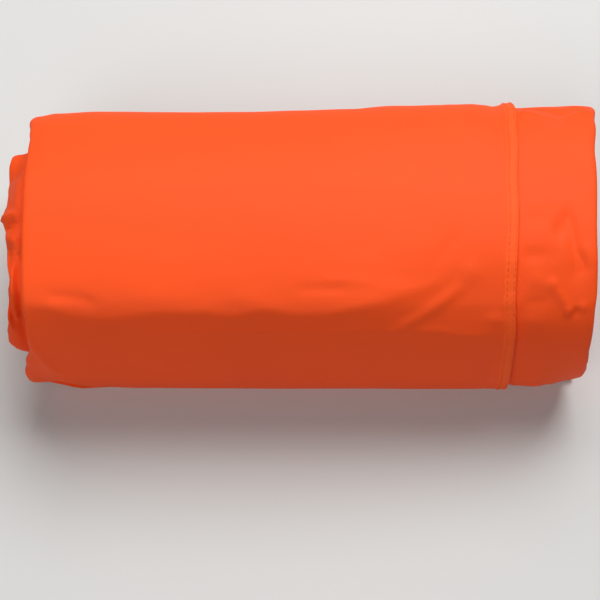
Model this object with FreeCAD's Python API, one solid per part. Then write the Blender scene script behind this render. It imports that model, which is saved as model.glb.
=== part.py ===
"""A bivy sack, folded in thirds across its width and rolled up from the foot end.

The roll lies on a surface. X runs along the roll, Y from its front to its back, Z up, in millimetres. The origin
is on the surface, under the middle of the roll.

The bag is two long sheets, a top and a floor, sewn together along both sides. Folding it in thirds puts six
layers on top of each other. Seen from the outside of the roll inwards they are:

    top            the outer third, from the left fold to the side seam
    floor, floor   the outer and the middle third, face to face
    top, top       the middle and the inner third, face to face
    floor          the inner third

So each sheet is a hook along X: the top turns round the floor's doubled layer at the left end of the roll, and
the floor turns round the top's doubled layer at the right end. The hooks hold each other, and both wind round
the foot end as one spiral. The last turn is the hood. An entry zip runs across its back, and its mouth is tucked
under the roll.
"""

import FreeCAD
import Part

import math
import os

V = FreeCAD.Vector
PARTS = "parts"

# ---- the roll ---------------------------------------------------------------------------------------------------

roll_height = 98.0  # surface to crown
crown_depth = 4.0  # the crown stands this far in front of the roll's middle
front_bulge = 68.0  # the roll's middle to its front
front_bulge_height = 28.0
ridge_depth = 51.0  # the front top edge, where the broad top turns down
ridge_height = 86.0
back_bulge = 68.0  # the roll's middle to the flat of its back
shoulder_depth = 57.0  # the back top edge
shoulder_height = 79.0
base_front = 42.0  # the flat stretch that each turn lies on
base_back = 40.0
core_height = 46.0  # the middle that all turns wind round, above the surface

turns = 4  # the last one is the hood
core_share = 0.22  # the foot end's share of the section
front_arcs = 5  # of one turn, from the base over the front and the crown to the zip
back_arcs = 2  # of one turn, from the zip down to the base

mouth_reach = 48.0  # the mouth's hem starts this far in front of the roll's middle

# ---- the folded stack -------------------------------------------------------------------------------------------

body_left = -146.0  # the left fold of the inner turns, which stick out of the hood
body_right = 139.0
hood_left = -133.0
hood_right = 146.0
fold_wall = 1.6  # thickness of a sheet where it turns round the other one
layer_gap = 0.3

seam_left = 97.0  # the outer third's side seam on the hood, a felled band
seam_width = 5.5
seam_rise = 0.9  # the band stands proud of the panel by this much

cross_seam_width = 8.0
hem_width = 9.0
hem_round = 0.45  # the hem's rounded lip, as a share of its thickness

# lanes across one turn, as shares of the turn's thickness, from its outside inwards
top_outer_lane = (0.00, 0.14)
floor_double_lane = (0.17, 0.46)
top_double_lane = (0.49, 0.78)
floor_inner_lane = (0.81, 0.97)

# ---- the zip, on the back of the hood ---------------------------------------------------------------------------

zip_height = 40.0  # the chain's middle above the surface
zip_left = -124.0
zip_right = 95.0
back_flat = 34.0  # the zip keeps this much of the back flat
tape_thickness = 0.6
tape_slot = 1.6  # between the two tapes
tape_width = 13.0  # from the chain's middle to a tape's outer edge
tape_shown = 6.8  # from the chain's middle to the panel's edge on the tape
panel_thickness = 1.1  # beside the zip
coil_slot = 1.0  # the running gap between the two rows
coil_width = 2.6
coil_height = 1.8
coil_side = 0.8  # height of a row's upright sides
stop_length = 3.0
stop_width = 6.6
stop_height = 2.1
stop_round = 0.7

slider_length = 12.5
slider_shoulder = 10.6
slider_tail = 8.9
slider_corner = 0.7
plate_thickness = 0.9
slider_play = 0.25
under_clearance = 0.5  # between the slider's lower plate and the floor layer behind it
flange_thickness = 0.9
flange_play = 0.35
flange_setback = 1.5  # the rims end this far short of the plates
web_thickness = 0.5
web_length = 3.2
web_setback = 1.0
bail_length = 8.0
bail_width = 2.0
bail_bar = 1.2
bail_slope = 0.9

pivot_radius = 0.75
pivot_play = 0.22
tab_length = 27.0
tab_root_width = 5.6
tab_end_width = 7.0
tab_thickness = 1.3
tab_taper = 6.0  # the tab's wide end
tab_corner = 1.5
eye_margin = 0.45  # between the tab's eye and the bail that it swings round
grip_ribs = 4
grip_margin = 0.8  # from the tab's sides and end to the ribs
grip_height = 0.35
grip_width = 0.8
grip_pitch = 2.2

# ---- the spiral -------------------------------------------------------------------------------------------------

turn_share = (1 - core_share) / turns  # of the section, taken up by one turn
lap_height = turn_share * core_height  # thickness of one turn where it lies flat
hood = turns - 1

flat_top = 2 * front_arcs  # the knot where the flat of the back begins, and the one where it ends
flat_bottom = flat_top + 1
last = flat_bottom + 2 * back_arcs


def smooth(points, arcs):
    """Knots of a run of arcs, evenly spaced on a smooth curve through a few points."""
    shape = Part.BSplineCurve()
    shape.interpolate([V(0, y, z) for y, z in points])
    return [(p.y, p.z) for p in shape.discretize(2 * arcs + 1)]


def section():
    """Knots of the finished roll's outline, from the base over the front, the crown and the back to the base."""
    front = [
        (-base_front, lap_height),
        (-front_bulge, front_bulge_height),
        (-ridge_depth, ridge_height),
        (-crown_depth, roll_height),
        (shoulder_depth, shoulder_height),
        (back_bulge, zip_height + back_flat / 2),
    ]
    low = zip_height - back_flat / 2
    back = [(back_bulge, low), ((base_back + 2 * back_bulge) / 3, low * 0.4), (base_back, 0)]
    return smooth(front, front_arcs) + smooth(back, back_arcs)


outline = section()


def point(turn, knot, lane):
    """A point of the spiral: a knot of the outline, drawn towards the core by the turns, the way and the lane."""
    y, z = outline[knot]
    shown = 1 - turn_share * (1 - knot / last)
    share = shown - turn_share * (hood - turn) - turn_share * lane
    return V(0, y * share / shown, core_height + (z - core_height) * share / shown)


def line(a, b):
    return Part.LineSegment(a, b).toShape()


def arcs(points):
    """Arcs through each third point of a list."""
    return [Part.Arc(*points[i : i + 3]).toShape() for i in range(0, len(points) - 2, 2)]


def chain(points):
    return [line(a, b) for a, b in zip(points, points[1:])]


def over(turn, lane):
    """A turn's way up its front and over the crown, to the flat of the back."""
    return arcs([point(turn, i, lane) for i in range(flat_top + 1)])


def under(turn, lane):
    """A turn's way from the flat of the back down to the base."""
    return arcs([point(turn, i, lane) for i in range(flat_bottom, last + 1)])


def whole_turn(turn, lane):
    return over(turn, lane) + [line(point(turn, flat_top, lane), point(turn, flat_bottom, lane))] + under(turn, lane)


def prism(edges, left, right):
    """A closed outline in the plane across the roll, drawn out along it."""
    face = Part.Face(Part.Wire(Part.__sortEdges__(edges)))
    face.translate(V(left, 0, 0))
    return face.extrude(V(right - left, 0, 0))


def strip(outer, inner, left, right):
    """A sheet between two runs of edges, each given from its start to its end."""
    start = line(inner[0].firstVertex(True).Point, outer[0].firstVertex(True).Point)
    end = line(outer[-1].lastVertex(True).Point, inner[-1].lastVertex(True).Point)
    return prism(outer + inner + [start, end], left, right)


def joined(pieces):
    return pieces[0].fuse(pieces[1:])


def block(x, y, z):
    """A box from its ranges along the three axes."""
    return Part.makeBox(x[1] - x[0], y[1] - y[0], z[1] - z[0], V(x[0], y[0], z[0]))


# ---- the body: the inner turns of both sheets -------------------------------------------------------------------


def body_run(lane):
    edges = whole_turn(0, lane)
    for turn in range(1, hood):
        edges.append(line(point(turn - 1, last, lane), point(turn, 0, lane)))
        edges += whole_turn(turn, lane)
    return edges


def body_strip(lane, left, right):
    return strip(body_run(lane[0]), body_run(lane[1]), left, right)


def body_top_panel():
    fold = body_strip((top_outer_lane[0], top_double_lane[1]), body_left, body_left + fold_wall)
    outer = body_strip(top_outer_lane, body_left + fold_wall, seam_left + seam_width)
    doubled = body_strip(top_double_lane, body_left + fold_wall, body_right - fold_wall - layer_gap)
    return joined([fold, outer, doubled])


def body_floor_panel():
    fold = body_strip((floor_double_lane[0], floor_inner_lane[1]), body_right - fold_wall, body_right)
    doubled = body_strip(floor_double_lane, body_left + fold_wall + layer_gap, body_right - fold_wall)
    inner = body_strip(floor_inner_lane, body_left + fold_wall + layer_gap, body_right - fold_wall)
    return joined([fold, doubled, inner])


def foot_end_panel():
    """The foot end's gusset, folded flat in the core that the first turn winds round."""
    rim = whole_turn(0, 1.0)
    return prism(rim + [line(point(0, last, 1.0), point(0, 0, 1.0))], body_left + fold_wall, body_right - fold_wall)


# ---- the hood: the last turn ------------------------------------------------------------------------------------


def hood_start(lane):
    """Where the hood begins, on the base of the turn before it, next to the seam that joins it to the body."""
    end_of_body = point(hood - 1, last, lane)
    return V(0, end_of_body.y - cross_seam_width, end_of_body.z)


def mouth(lane):
    return V(0, -mouth_reach, point(hood, last, lane).z)


def lead_in(lane):
    return line(hood_start(lane), point(hood, 0, lane))


def lead_out(lane):
    return line(point(hood, last, lane), mouth(lane))


def hood_run(lane):
    return [lead_in(lane)] + whole_turn(hood, lane) + [lead_out(lane)]


def hood_strip(lane, left, right):
    return strip(hood_run(lane[0]), hood_run(lane[1]), left, right)


def hood_floor_panel():
    fold = hood_strip((floor_double_lane[0], floor_inner_lane[1]), hood_right - fold_wall, hood_right)
    doubled = hood_strip(floor_double_lane, hood_left + fold_wall + layer_gap, hood_right - fold_wall)
    inner = hood_strip(floor_inner_lane, hood_left + seam_width, hood_right - fold_wall)
    return joined([fold, doubled, inner])


# The zip's planes, from the floor layer behind it outwards.
behind_zip = max(point(hood, knot, floor_double_lane[0]).y for knot in (flat_top, flat_bottom))
lower_plate_in = behind_zip + under_clearance
lower_plate_out = lower_plate_in + plate_thickness
tape_in = lower_plate_out + slider_play
tape_out = tape_in + tape_thickness
coil_out = tape_out + coil_height
upper_plate_in = coil_out + slider_play
upper_plate_out = upper_plate_in + plate_thickness
pivot_depth = upper_plate_out + pivot_play + pivot_radius
bail_in = pivot_depth + pivot_radius + pivot_play
bail_out = bail_in + bail_bar


def panel_edge(side, depth):
    """The panel's margin on the tape, above (side 1) or below (side -1) the chain: its edge and its bend."""
    return [V(0, depth, zip_height + side * reach) for reach in (tape_shown, tape_width)]


def upper_run(lane, depth):
    """The way from the body over the crown to the panel's upper edge at the zip."""
    edge, bend = panel_edge(1, depth)
    return [lead_in(lane)] + over(hood, lane) + chain([point(hood, flat_top, lane), bend, edge])


def lower_run(lane, depth):
    """The way from the panel's lower edge at the zip under the roll to the mouth."""
    edge, bend = panel_edge(-1, depth)
    return chain([edge, bend, point(hood, flat_bottom, lane)]) + under(hood, lane) + [lead_out(lane)]


def fold_depth(knot):
    """The depth of the left fold's inside at the zip, which follows the doubled layer."""
    return point(hood, knot, top_double_lane[1]).y


def hood_top_panel():
    outer, inner = top_outer_lane
    face = tape_out + panel_thickness
    fold = strip(
        upper_run(outer, face), upper_run(top_double_lane[1], fold_depth(flat_top)), hood_left, hood_left + fold_wall
    )
    panel = strip(upper_run(outer, face), upper_run(inner, tape_out), hood_left + fold_wall, seam_left)
    doubled = hood_strip(top_double_lane, hood_left + fold_wall, hood_right - fold_wall - layer_gap)
    bridge = (zip_height - tape_shown, zip_height + tape_shown)
    left_end = block((hood_left + fold_wall, zip_left - layer_gap), (tape_out, face), bridge)
    right_end = block((zip_right + layer_gap, seam_left), (tape_out, face), bridge)
    return joined([panel, fold, doubled, left_end, right_end])


def hood_mouth_panel():
    outer, inner = top_outer_lane
    face = tape_out + panel_thickness
    fold = strip(
        lower_run(outer, face), lower_run(top_double_lane[1], fold_depth(flat_bottom)), hood_left, hood_left + fold_wall
    )
    panel = strip(lower_run(outer, face), lower_run(inner, tape_out), hood_left + fold_wall, seam_left)
    return joined([panel, fold])


# ---- seams and hems ---------------------------------------------------------------------------------------------


def cross_seam(lane, left, right):
    """One layer of the felled seam between body and hood, flat on the base."""
    corners = [point(hood - 1, last, lane[0]), point(hood - 1, last, lane[1]), hood_start(lane[1]), hood_start(lane[0])]
    return prism(chain(corners + corners[:1]), left, right)


def hood_cross_seam():
    left, right = body_left + fold_wall + layer_gap, body_right - fold_wall - layer_gap
    layers = [cross_seam(top_outer_lane, left, seam_left)]
    for lane in (floor_double_lane, top_double_lane, floor_inner_lane):
        layers.append(cross_seam(lane, left, right))
    return Part.makeCompound(layers)


def raised(knot):
    """A knot of the outer seam's face, which stands proud of the hood except where the hood lies on itself."""
    p = point(hood, knot, top_outer_lane[0])
    if knot in (0, last):
        return p
    away = V(0, p.y, p.z - core_height).normalize()
    return p + away * seam_rise


def outer_seam_hood():
    lane = top_outer_lane[0]
    flat = chain([raised(flat_top), raised(flat_bottom)])
    up = arcs([raised(i) for i in range(flat_top + 1)])
    down = arcs([raised(i) for i in range(flat_bottom, last + 1)])
    outer = [lead_in(lane)] + up + flat + down + [lead_out(lane)]
    return strip(outer, hood_run(top_outer_lane[1]), seam_left, seam_left + seam_width)


def inner_seam_hood():
    return hood_strip(floor_inner_lane, hood_left + fold_wall + layer_gap, hood_left + seam_width)


def side_seams_hood():
    return Part.makeCompound([outer_seam_hood(), inner_seam_hood()])


def hem(lane, left, right):
    """The rolled hem along a sheet's edge at the mouth."""
    low, high = mouth(lane[0]).z, mouth(lane[1]).z
    lip = -mouth_reach - hem_width
    body = block((left, right), (lip, -mouth_reach), (low, high))
    lip_edges = [e for e in body.Edges if abs(e.BoundBox.YMax - lip) < 0.01 and e.BoundBox.XLength > right - left - 1]
    return body.makeFillet((high - low) * hem_round, lip_edges)


def mouth_hem_top():
    outer = hem(top_outer_lane, hood_left, seam_left + seam_width)
    doubled = hem(top_double_lane, hood_left + fold_wall, hood_right - fold_wall - layer_gap)
    return Part.makeCompound([outer, doubled])


def mouth_hem_floor():
    doubled = hem(floor_double_lane, hood_left + fold_wall + layer_gap, hood_right)
    inner = hem(floor_inner_lane, hood_left + fold_wall + layer_gap, hood_right)
    return Part.makeCompound([doubled, inner])


# ---- the zip ----------------------------------------------------------------------------------------------------

slider_x = zip_right - stop_length - layer_gap - slider_length / 2
slider_open_x = zip_left + stop_length + layer_gap + slider_length / 2


def tape(side):
    heights = sorted((zip_height + side * tape_slot / 2, zip_height + side * tape_width))
    return block((zip_left, zip_right), (tape_in, tape_out), heights)


def coil(side):
    """One row of the chain, with the round backs of its loops."""
    near = zip_height + side * coil_slot / 2
    far = near + side * coil_width
    shoulder = tape_out + coil_side
    top = V(0, coil_out, (near + far) / 2)
    sides = chain([V(0, shoulder, near), V(0, tape_out, near), V(0, tape_out, far), V(0, shoulder, far)])
    return prism(sides + arcs([V(0, shoulder, far), top, V(0, shoulder, near)]),
                 zip_left + stop_length, zip_right - stop_length)


def chain_stop(left):
    """A moulded stop across both rows' ends."""
    face = tape_out + stop_height
    heights = (zip_height - stop_width / 2, zip_height + stop_width / 2)
    body = block((left, left + stop_length), (tape_out, face), heights)
    return body.makeFillet(stop_round, [e for e in body.Edges if e.BoundBox.YMin > face - 0.01])


def slider_plate(low):
    """A plate with wide shoulders at the closing end and a narrower tail."""
    nose, shoulder, tail = slider_length / 2, slider_shoulder / 2, slider_tail / 2
    half = [(nose, shoulder * 0.55), (nose - 1.5, shoulder), (nose * 0.2, shoulder), (-nose * 0.5, tail), (-nose, tail)]
    plan = half + [(x, -z) for x, z in reversed(half)]
    corners = [V(slider_x + x, low, zip_height + z) for x, z in plan]
    plate = Part.Face(Part.makePolygon(corners + corners[:1])).extrude(V(0, plate_thickness, 0))
    return plate.makeFillet(slider_corner, [e for e in plate.Edges if e.BoundBox.YLength > plate_thickness / 2])


def slider_flange(side):
    """A rim that hangs from the upper plate outside the coils and ends above the tape."""
    inside = coil_slot / 2 + coil_width + flange_play
    heights = sorted((zip_height + side * inside, zip_height + side * (inside + flange_thickness)))
    ends = (slider_x - slider_length / 2 + flange_setback / 2, slider_x + slider_length / 2 - flange_setback)
    return block(ends, (tape_out + slider_play, upper_plate_in), heights)


def slider_web():
    """The post between the plates, which parts the two rows."""
    end = slider_x + slider_length / 2 - web_setback
    heights = (zip_height - web_thickness / 2, zip_height + web_thickness / 2)
    return block((end - web_length, end), (lower_plate_out, upper_plate_in), heights)


def bail():
    """The bridge on the upper plate, over the tab's pivot bar."""
    foot, half = upper_plate_out, bail_length / 2
    gap = half - bail_bar
    outer = [V(-half, foot, 0), V(-half + bail_slope, bail_out, 0), V(half - bail_slope, bail_out, 0), V(half, foot, 0)]
    inner = [V(gap, foot, 0), V(gap - bail_slope / 2, bail_in, 0), V(bail_slope / 2 - gap, bail_in, 0), V(-gap, foot, 0)]
    arch = Part.Face(Part.makePolygon(outer + inner + outer[:1])).extrude(V(0, 0, bail_width))
    arch.translate(V(slider_x, 0, zip_height - bail_width / 2))
    return arch


def zip_slider():
    plates = [slider_plate(upper_plate_in), slider_plate(lower_plate_in)]
    return joined(plates + [slider_flange(1), slider_flange(-1), slider_web(), bail()]).removeSplitter()


def zip_pull_tab():
    """A flat tab whose eye straddles the bail. Its pivot bar turns under the bridge."""
    reach = math.hypot(bail_length / 2, bail_out - pivot_depth) + eye_margin
    arm = bail_width / 2 + eye_margin
    root, end = tab_root_width / 2, tab_end_width / 2
    half = [(0, root), (reach + bail_bar, root), (tab_length - tab_taper, end), (tab_length - tab_corner, end),
            (tab_length, end - tab_corner)]
    plan = half + [(x, -z) for x, z in reversed(half)]
    low, high = pivot_depth - tab_thickness / 2, pivot_depth + tab_thickness / 2
    corners = [V(slider_x - x, low, zip_height + z) for x, z in plan]
    plate = Part.Face(Part.makePolygon(corners + corners[:1])).extrude(V(0, tab_thickness, 0))
    eye = block((slider_x - reach, slider_x + pivot_radius), (low, high), (zip_height - arm, zip_height + arm))
    bar = Part.makeCylinder(pivot_radius, tab_root_width, V(slider_x, pivot_depth, zip_height - root), V(0, 0, 1))
    grip = (zip_height - end + grip_margin, zip_height + end - grip_margin)
    ribs = []
    for i in range(grip_ribs):
        x = slider_x - tab_length + tab_corner + grip_margin + i * grip_pitch
        ribs.append(block((x, x + grip_width), (low - grip_height, high + grip_height), grip))
    return plate.cut(eye).fuse([bar] + ribs).removeSplitter()


# ---- the model --------------------------------------------------------------------------------------------------


def build():
    return {
        "body_top_panel": body_top_panel(),
        "body_floor_panel": body_floor_panel(),
        "foot_end_panel": foot_end_panel(),
        "hood_top_panel": hood_top_panel(),
        "hood_mouth_panel": hood_mouth_panel(),
        "hood_floor_panel": hood_floor_panel(),
        "hood_cross_seam": hood_cross_seam(),
        "side_seams_hood": side_seams_hood(),
        "mouth_hem_top": mouth_hem_top(),
        "mouth_hem_floor": mouth_hem_floor(),
        "zip_tape_upper": tape(1),
        "zip_tape_lower": tape(-1),
        "zip_coil_upper": coil(1),
        "zip_coil_lower": coil(-1),
        "zip_top_stop": chain_stop(zip_right - stop_length),
        "zip_bottom_stop": chain_stop(zip_left),
        "zip_slider": zip_slider(),
        "zip_pull_tab": zip_pull_tab(),
    }


def main():
    os.makedirs(PARTS, exist_ok=True)
    nodes = build()
    for name, shape in nodes.items():
        shape.exportStep(os.path.join(PARTS, name + ".step"))
        state = "valid" if shape.isValid() else "NOT VALID"
        print(f"{name}: {len(shape.Solids)} solid(s), {shape.Volume / 1000:.2f} cm3, {state}")
    box = Part.makeCompound(list(nodes.values())).optimalBoundingBox(False)
    print(f"box x {box.XMin:.2f} to {box.XMax:.2f}, y {box.YMin:.2f} to {box.YMax:.2f}, z {box.ZMin:.2f} to {box.ZMax:.2f}")
    print(f"the tab's pivot: x {slider_x:.3f}, y {pivot_depth:.3f}, z {zip_height:.3f}")
    print(f"the slider runs {slider_x - slider_open_x:.2f} towards the left")


main()
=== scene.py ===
# %% [markdown]
# # A rolled bivy sack
# A bivy sack is a weatherproof cover for a sleeping bag: two long nylon sheets, a top and a floor, sewn together
# along both sides. Packed, it is folded in thirds and rolled up from the foot end. So it is two sheets that follow
# one rule, and then seams, hems and a zip. The frame holds the place and size of every piece, so it is loaded first.

# %% Load the frame
import math

import bpy
import numpy as np
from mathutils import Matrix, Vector


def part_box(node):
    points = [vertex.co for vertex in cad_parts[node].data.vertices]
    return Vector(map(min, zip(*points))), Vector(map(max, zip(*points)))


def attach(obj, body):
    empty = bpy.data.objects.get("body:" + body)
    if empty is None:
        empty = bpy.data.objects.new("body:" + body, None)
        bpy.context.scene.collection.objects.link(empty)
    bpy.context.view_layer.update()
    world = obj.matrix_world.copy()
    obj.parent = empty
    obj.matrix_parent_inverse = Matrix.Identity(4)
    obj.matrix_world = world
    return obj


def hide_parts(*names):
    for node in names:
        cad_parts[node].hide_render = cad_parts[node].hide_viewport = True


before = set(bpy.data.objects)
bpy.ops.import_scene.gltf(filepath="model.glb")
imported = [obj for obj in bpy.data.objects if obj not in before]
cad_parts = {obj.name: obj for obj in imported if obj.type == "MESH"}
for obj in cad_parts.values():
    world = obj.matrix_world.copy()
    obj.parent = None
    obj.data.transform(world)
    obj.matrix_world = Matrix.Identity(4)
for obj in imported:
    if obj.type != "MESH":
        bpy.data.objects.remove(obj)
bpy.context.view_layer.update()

MM = 0.001


def box_mm(node):
    """A node's lowest and highest corners in millimetres."""
    low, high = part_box(node)
    return np.array(low) / MM, np.array(high) / MM


tape_low, tape_high = box_mm("zip_tape_lower")[0], box_mm("zip_tape_upper")[1]
row_low, row_high = box_mm("zip_coil_lower")[0], box_mm("zip_coil_upper")[1]
zip_left, zip_right = tape_low[0], tape_high[0]
zip_height = (tape_low[2] + tape_high[2]) / 2
hem_low, hem_high = box_mm("mouth_hem_top")
print(f"zip from {zip_left:.0f} to {zip_right:.0f} mm at height {zip_height:.0f} mm")

# %% [markdown]
# ## Finishes
# The cloth is plain-woven nylon with a thin coating. From afar it is one strong colour with a soft gloss, and from
# near it shows threads, a slight crinkle and a little unevenness in the dye. The threads follow the flat cloth, so
# they read each sheet's own UV map, in decimetres. Small trims read plain object coordinates.

# %% Tools for materials
def feed(node, name, value):
    """Sets an input of a node, or links another node's output to it."""
    if isinstance(value, bpy.types.NodeSocket):
        node.id_data.links.new(value, node.inputs[name])
    else:
        node.inputs[name].default_value = value


def add(owner, kind, feeds={}, **settings):
    """Adds a node to the owner's tree. feeds are values or outputs for its inputs. The tree's own family of nodes,
    ShaderNode or GeometryNode, is left out of the kind."""
    tree = owner.id_data
    node = tree.nodes.new(kind if "Node" in kind else tree.bl_idname.removesuffix("Tree") + kind)
    for key, value in settings.items():
        setattr(node, key, value)
    for name, value in feeds.items():
        feed(node, name, value)
    return node.outputs[0] if node.outputs else node


def shader(name, color, roughness, specular=0.5):
    """A new material, and its main shader."""
    material = bpy.data.materials.new(name)
    material.use_nodes = True
    main = material.node_tree.nodes["Principled BSDF"]
    for socket, value in (("Base Color", (*color, 1)), ("Roughness", roughness), ("Specular IOR Level", specular)):
        feed(main, socket, value)
    return material, main


def object_place(owner):
    return add(owner, "TexCoord").node.outputs["Object"]


def noise(place, scale, detail=2.0):
    return add(place, "TexNoise", {"Vector": place, "Scale": scale, "Detail": detail})


def wave(place, scale, direction):
    return add(place, "TexWave", {"Vector": place, "Scale": scale}, bands_direction=direction)


def calculate(operation, first, second):
    return add(first, "ShaderNodeMath", {0: first, 1: second}, operation=operation)


def two_tones(main, cloud, *ends):
    """The colour follows a noise. Each end is (noise value, tone)."""
    ramp = add(main, "ValToRGB", {"Fac": cloud})
    for element, (position, tone) in zip(ramp.node.color_ramp.elements, ends):
        element.position, element.color = position, (*tone, 1)
    feed(main, "Base Color", ramp)


def mottled(main, color, place, scale, amount):
    """Dye that is a little uneven: noise mixes a darker and a lighter tone of the colour."""
    cloud = noise(place, scale, 4.0)
    darker, lighter = ([min(1, c * gain) for c in color] for gain in (1 - amount, 1 + amount))
    two_tones(main, cloud, (0.3, darker), (0.7, lighter))
    return cloud


def uneven_gloss(main, cloud, middle, spread):
    gloss = add(main, "MapRange", {"Value": cloud, "To Min": middle - spread, "To Max": middle + spread})
    feed(main, "Roughness", gloss)


def relief_from(main, *layers):
    """Stacks bumps. Each layer is (height output, depth in metres, strength)."""
    below = {}
    for height, depth, strength in layers:
        normal = add(main, "Bump", {"Height": height, "Distance": depth, "Strength": strength, **below})
        below = {"Normal": normal}
    feed(main, "Normal", normal)


# %% Coated nylon
THREADS = 105.0  # wave scale that gives a thread each 0.3 mm on a UV in decimetres
NYLON_SPECULAR = 0.14
ORANGE = (0.97, 0.089, 0.0125)


def nylon(name, color, roughness=0.58, on_cloth=True):
    material, main = shader(name, color, roughness, NYLON_SPECULAR)
    where = object_place(main)
    uneven_gloss(main, mottled(main, color, where, 14.0, 0.03), roughness, 0.04)
    if on_cloth:
        flat = add(main, "UVMap", uv_map="cloth")
        warp, weft = wave(flat, THREADS, "X"), wave(flat, THREADS * 0.9, "Y")
    else:
        warp, weft = wave(where, 1050.0, "X"), wave(where, 950.0, "DIAGONAL")
    crinkle, weave = noise(where, 160.0, 3.0), calculate("ADD", warp, weft)
    relief_from(main, (crinkle, 0.00025, 0.35), (weave, 0.00002, 0.5))
    return material


top_nylon = nylon("top_nylon", ORANGE)
floor_nylon = nylon("floor_nylon", (0.95, 0.086, 0.0115))
# The side seam's band is the same nylon as the skin. Its lighter tone is a painted highlight, for the light that the
# raised band catches.
seam_nylon = nylon("seam_nylon", (1.0, 0.106, 0.0145))
trim_nylon = nylon("trim_nylon", (0.97, 0.097, 0.0125), 0.6, on_cloth=False)

# %% [markdown]
# Thread is twisted, so it has a slanting stripe. The zip is black: woven tapes with a herringbone, a coil and stops
# of nylon, and an enamelled slider and pull with small rubbed spots, a little brighter.

# %% Thread, zip and metal
STRIPE = 0.0016  # height of one stripe of the herringbone
RUBBED = (0.14, 0.14, 0.145)


def twisted_thread(name, color):
    material, main = shader(name, color, 0.55, 0.35)
    where = object_place(main)
    mottled(main, color, where, 300.0, 0.08)
    relief_from(main, (wave(where, 700.0, "DIAGONAL"), 0.00005, 0.6))
    return material


def woven_tape(name, color):
    """Herringbone: slanted waves that turn back in narrow stripes along the tape."""
    material, main = shader(name, color, 0.8, 0.3)
    feed(main, "Sheen Weight", 0.15)
    where = object_place(main)
    parts = add(main, "SeparateXYZ", {"Vector": where}).node.outputs
    slant = add(main, "CombineXYZ", {"X": parts["X"], "Y": calculate("PINGPONG", parts["Z"], STRIPE)})
    mottled(main, color, where, 250.0, 0.15)
    relief_from(main, (wave(slant, 420.0, "DIAGONAL"), 0.00012, 0.8))
    return material


def moulded(name, color, roughness):
    material, main = shader(name, color, roughness)
    where = object_place(main)
    uneven_gloss(main, mottled(main, color, where, 180.0, 0.1), roughness, 0.08)
    relief_from(main, (noise(where, 2500.0), 0.00002, 0.4))
    return material


def enamelled(name, color):
    """Black enamel on cast metal, with small rubbed spots."""
    material, main = shader(name, color, 0.35)
    spots = noise(object_place(main), 420.0, 6.0)
    two_tones(main, spots, (0.55, color), (0.78, RUBBED))
    uneven_gloss(main, spots, 0.38, 0.1)
    relief_from(main, (spots, 0.00003, 0.5))
    return material


thread = twisted_thread("orange_thread", (0.97, 0.095, 0.013))
zip_tape = woven_tape("zip_tape", (0.022, 0.022, 0.024))
zip_coil = moulded("zip_coil", (0.03, 0.03, 0.033), 0.42)
zip_stop = moulded("zip_stop", (0.035, 0.035, 0.038), 0.38)
enamel = enamelled("black_enamel", (0.03, 0.03, 0.032))
print("finishes:", [material.name for material in bpy.data.materials])

# %% [markdown]
# ## The way round the roll
# Every layer of the roll has the same outline, only smaller towards the core. So one outline is enough: a smooth
# curve through a few points, from the flat base up the front, over the crown and down the back. The ridge at the
# front is tight and the back shoulder is round, because the roll has settled towards its front.

# %% The outline
TURNS = 9  # eight turns of the body, and the hood
OUTER = TURNS - 1  # the hood's turn
CORE_SHARE = 0.15  # the core's share of the outline
LAP = (1 - CORE_SHARE) / TURNS  # one turn's share of the outline
CORE_HEIGHT = 46.0  # all turns wind round this height
OUTLINE = [
    (-42, LAP * CORE_HEIGHT), (-57, 8.5), (-67, 21), (-69.5, 34), (-67, 52), (-62, 70), (-56.5, 82), (-49, 89.5),
    (-32, 94.5), (-6, 98), (20, 97.5), (44, 92.5), (60, 82.5), (67.6, 68), (69, 55), (69, 41), (68.4, 29), (64.6, 17),
    (55, 5), (40, 0),
]


def smooth_curve(points, steps):
    """A Catmull-Rom curve through the points, in short steps."""
    p = np.array(points, float)
    p = np.vstack([2 * p[0] - p[1], p, 2 * p[-1] - p[-2]])
    t = np.linspace(0, 1, steps, endpoint=False)[:, None]
    runs = []
    for a, b, c, d in zip(p, p[1:], p[2:], p[3:]):
        runs.append(0.5 * (2 * b + (c - a) * t + (2 * a - 5 * b + 4 * c - d) * t**2 + (3 * b - a - 3 * c + d) * t**3))
    return np.vstack(runs + [p[-2:-1]])


outline = smooth_curve(OUTLINE, 24)
reach = np.hypot(*np.diff(outline, axis=0, prepend=outline[:1]).T).cumsum()
ARC_LENGTH = reach[-1]
BASE_FRONT, BASE_BACK = OUTLINE[0][0], OUTLINE[-1][0]
BASE_LENGTH = BASE_BACK - BASE_FRONT / (1 - LAP)
ARC = ARC_LENGTH / (ARC_LENGTH + BASE_LENGTH)  # the share of a turn that isn't flat on the base
along_outline = np.gradient(outline, reach, axis=0)
outward = np.stack([-along_outline[:, 1], along_outline[:, 0]], axis=1)
outward /= np.linalg.norm(outward, axis=1)[:, None]
print(f"once round: {ARC_LENGTH:.0f} mm over the top and {BASE_LENGTH:.0f} mm on the base")


def on_outline(table, arc):
    """Values that are known along the outline, looked up by the share of the arc."""
    at = np.clip(arc, 0, 1) * ARC_LENGTH
    return np.stack([np.interp(at, reach, column) for column in table.T], axis=-1)


# %% [markdown]
# ## Dents and folds of the whole roll
# Soft fabric never lies as a perfect cylinder. Its dents are placed on the unrolled wrap: x along the roll in
# millimetres, and the way round as a share of the arc, from the front of the base (0) over the ridge (0.33) and the
# crown (0.5) to the back of the base (1). The layers under a dent give way with it, less and less towards the core.

# %% Small shape tools
def between(x, table):
    """A smooth profile through the (place, value) pairs of a table."""
    places, values = np.array(table, float).T
    x = np.clip(x, places[0], places[-1])
    i = np.clip(np.searchsorted(places, x, side="right") - 1, 0, len(places) - 2)
    t = (x - places[i]) / (places[i + 1] - places[i])
    return values[i] + (values[i + 1] - values[i]) * t * t * (3 - 2 * t)


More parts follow.
